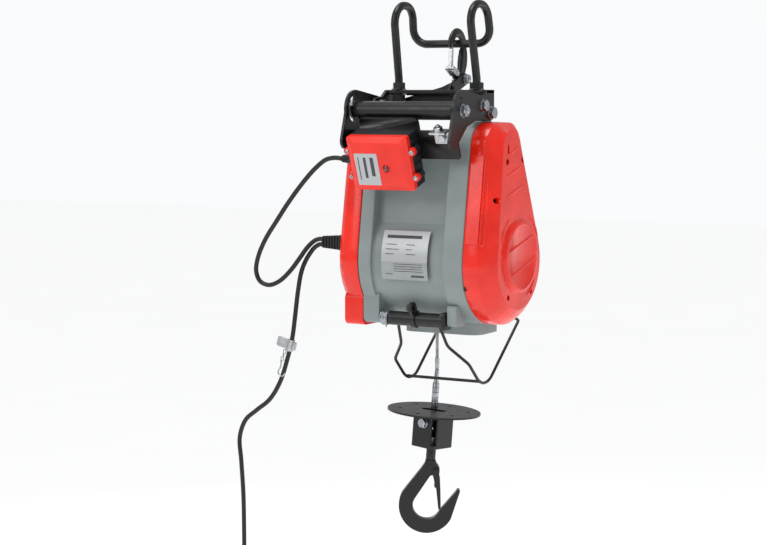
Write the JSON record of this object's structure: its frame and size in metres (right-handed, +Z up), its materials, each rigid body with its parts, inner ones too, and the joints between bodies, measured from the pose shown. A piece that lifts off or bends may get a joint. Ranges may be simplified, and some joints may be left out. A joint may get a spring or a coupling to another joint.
{
  "type": "electric wire rope hoist",
  "caption": "Compact electric hoist hung from a tube by a bent-rod hanger, with wire rope, swivel load hook, radio box and leads.",
  "frame": {"origin": "Highest point under the hanger's two hooks, midway between them, where the hoist rests on its tube.", "axes": "+X runs along the drum to the gear cover, -Y is the front with the receiver box, +Z is up."},
  "size_m": [0.4925, 0.2937, 1.0686],
  "materials": {
    "grey_casing_paint": "satin paint on cast aluminium",
    "red_cover_paint": "gloss paint on cast aluminium",
    "red_box_plastic": "moulded ABS",
    "black_steel_paint": "powder coat on steel",
    "zinc_plated_steel": "bright zinc plate",
    "machined_steel": "turned and cut steel",
    "gearbox_casting": "machined casting",
    "galvanised_rope": "galvanised strands",
    "black_rubber": "satin moulded rubber",
    "black_plastic": "moulded nylon and ABS",
    "red_lens": "clear red lens",
    "green_board": "circuit board laminate",
    "stator_stack": "laminations and varnished copper wire"
  },
  "bodies": {
    "hoist_body": {"drum_housing": "grey_casing_paint", "gear_cover": "red_cover_paint", "motor_cover": "red_cover_paint", "receiver_lid": "red_box_plastic", "hanger_nut_upper_left": "black_steel_paint", "hanger_nut_lower_left": "black_steel_paint", "hanger_nut_upper_right": "black_steel_paint", "hanger_nut_lower_right": "black_steel_paint", "hanger_rod": "black_steel_paint", "hanger_yoke": "black_steel_paint", "roller_ear_left": "black_steel_paint", "roller_ear_right": "black_steel_paint", "safety_hook": "black_steel_paint", "box_bracket": "black_steel_paint", "limit_bracket": "black_steel_paint", "yoke_bolt_left": "zinc_plated_steel", "yoke_bolt_right": "zinc_plated_steel", "ear_bolt_left": "zinc_plated_steel", "ear_bolt_right": "zinc_plated_steel", "roller_axle": "zinc_plated_steel", "safety_bolt": "zinc_plated_steel", "bracket_clip": "zinc_plated_steel", "limit_spring": "zinc_plated_steel", "cord_clamp": "zinc_plated_steel", "clamp_clip": "zinc_plated_steel", "drum_bearing_left": "machined_steel", "drum_bearing_right": "machined_steel", "gearbox_plate": "gearbox_casting", "control_cord": "black_rubber", "supply_cord": "black_rubber", "supply_hank": "black_rubber", "supply_plug": "black_rubber", "cable_boot": "black_rubber", "box_gland": "black_rubber", "receiver_case": "black_plastic", "run_capacitor": "black_plastic", "limit_switch": "black_plastic", "status_lamp": "red_lens", "circuit_board": "green_board", "motor_stator": "stator_stack"},
    "guide_roller": {"guide_roller": "black_steel_paint"},
    "safety_gate": {"safety_gate": "zinc_plated_steel"},
    "limit_arm": {"limit_bail": "black_steel_paint", "limit_shaft": "black_steel_paint"},
    "rope_drum": {"rope_drum": "machined_steel", "rope_winding": "galvanised_rope", "drum_gear": "machined_steel"},
    "intermediate_gear": {"intermediate_gear": "machined_steel"},
    "motor_shaft": {"motor_shaft": "machined_steel", "cooling_fan": "black_plastic"},
    "rope_end": {"wire_rope": "galvanised_rope"},
    "hook_block": {"rope_ferrule": "zinc_plated_steel", "block_disc": "zinc_plated_steel", "hook_block": "black_steel_paint", "block_bolt": "zinc_plated_steel", "rope_thimble": "zinc_plated_steel"},
    "load_hook": {"load_hook": "black_steel_paint", "swivel_nut": "zinc_plated_steel", "latch_pin": "zinc_plated_steel"},
    "hook_latch": {"hook_latch": "black_steel_paint"}
  },
  "joints": [
    {"name": "guide_roller_spin", "type": "hinge", "parent": "hoist_body", "child": "guide_roller", "pos_m": [0, -0.1, -0.15], "axis": [1, 0, 0], "continuous": true},
    {"name": "safety_gate_swing", "type": "hinge", "parent": "hoist_body", "child": "safety_gate", "pos_m": [0.0085, 0.03, -0.095], "axis": [1, 0, 0], "range_deg": [-25, 0], "stiffness_Nm_per_rad": 0.05, "springref_deg": 17.19},
    {"name": "limit_bail_lift", "type": "hinge", "parent": "hoist_body", "child": "limit_arm", "pos_m": [0, -0.07, -0.4575], "axis": [1, 0, 0], "range_deg": [0, 10], "stiffness_Nm_per_rad": 0.3, "springref_deg": -11.46},
    {"name": "hook_travel", "type": "slide", "parent": "hoist_body", "child": "rope_end", "axis": [0, 0, 1], "range_m": [-0.27, 0.02], "deforming": ["wire_rope"]},
    {"name": "drum_spin", "type": "hinge", "parent": "hoist_body", "child": "rope_drum", "pos_m": [0, 0, -0.372], "axis": [1, 0, 0], "range_deg": [-357, 29]},
    {"name": "intermediate_spin", "type": "hinge", "parent": "hoist_body", "child": "intermediate_gear", "pos_m": [0.09, 0, -0.318], "axis": [1, 0, 0], "range_deg": [-81, 1065]},
    {"name": "motor_spin", "type": "hinge", "parent": "hoist_body", "child": "motor_shaft", "pos_m": [-0.06, 0, -0.372], "axis": [1, 0, 0], "range_deg": [-3720, 278]},
    {"name": "block_swing", "type": "hinge", "parent": "rope_end", "child": "hook_block", "pos_m": [-0.0266, 0.0437, -0.5475], "axis": [-0.4695, 0.8829, 0], "range_deg": [-8, 8]},
    {"name": "hook_swivel", "type": "hinge", "parent": "hook_block", "child": "load_hook", "pos_m": [-0.03549, 0.03897, -0.69145], "axis": [0.0616, 0.0327, 0.9976], "continuous": true},
    {"name": "hook_latch_swing", "type": "hinge", "parent": "load_hook", "child": "hook_latch", "pos_m": [-0.02842, 0.04273, -0.70604], "axis": [-0.4695, 0.8829, 0], "range_deg": [0, 22], "stiffness_Nm_per_rad": 0.06, "springref_deg": -17.19}
  ],
  "couplings": [
    {"joint": "drum_spin", "follows": "hook_travel", "rad_per_m": 22.883},
    {"joint": "intermediate_spin", "follows": "hook_travel", "rad_per_m": -68.65},
    {"joint": "motor_spin", "follows": "hook_travel", "rad_per_m": 240.27}
  ]
}
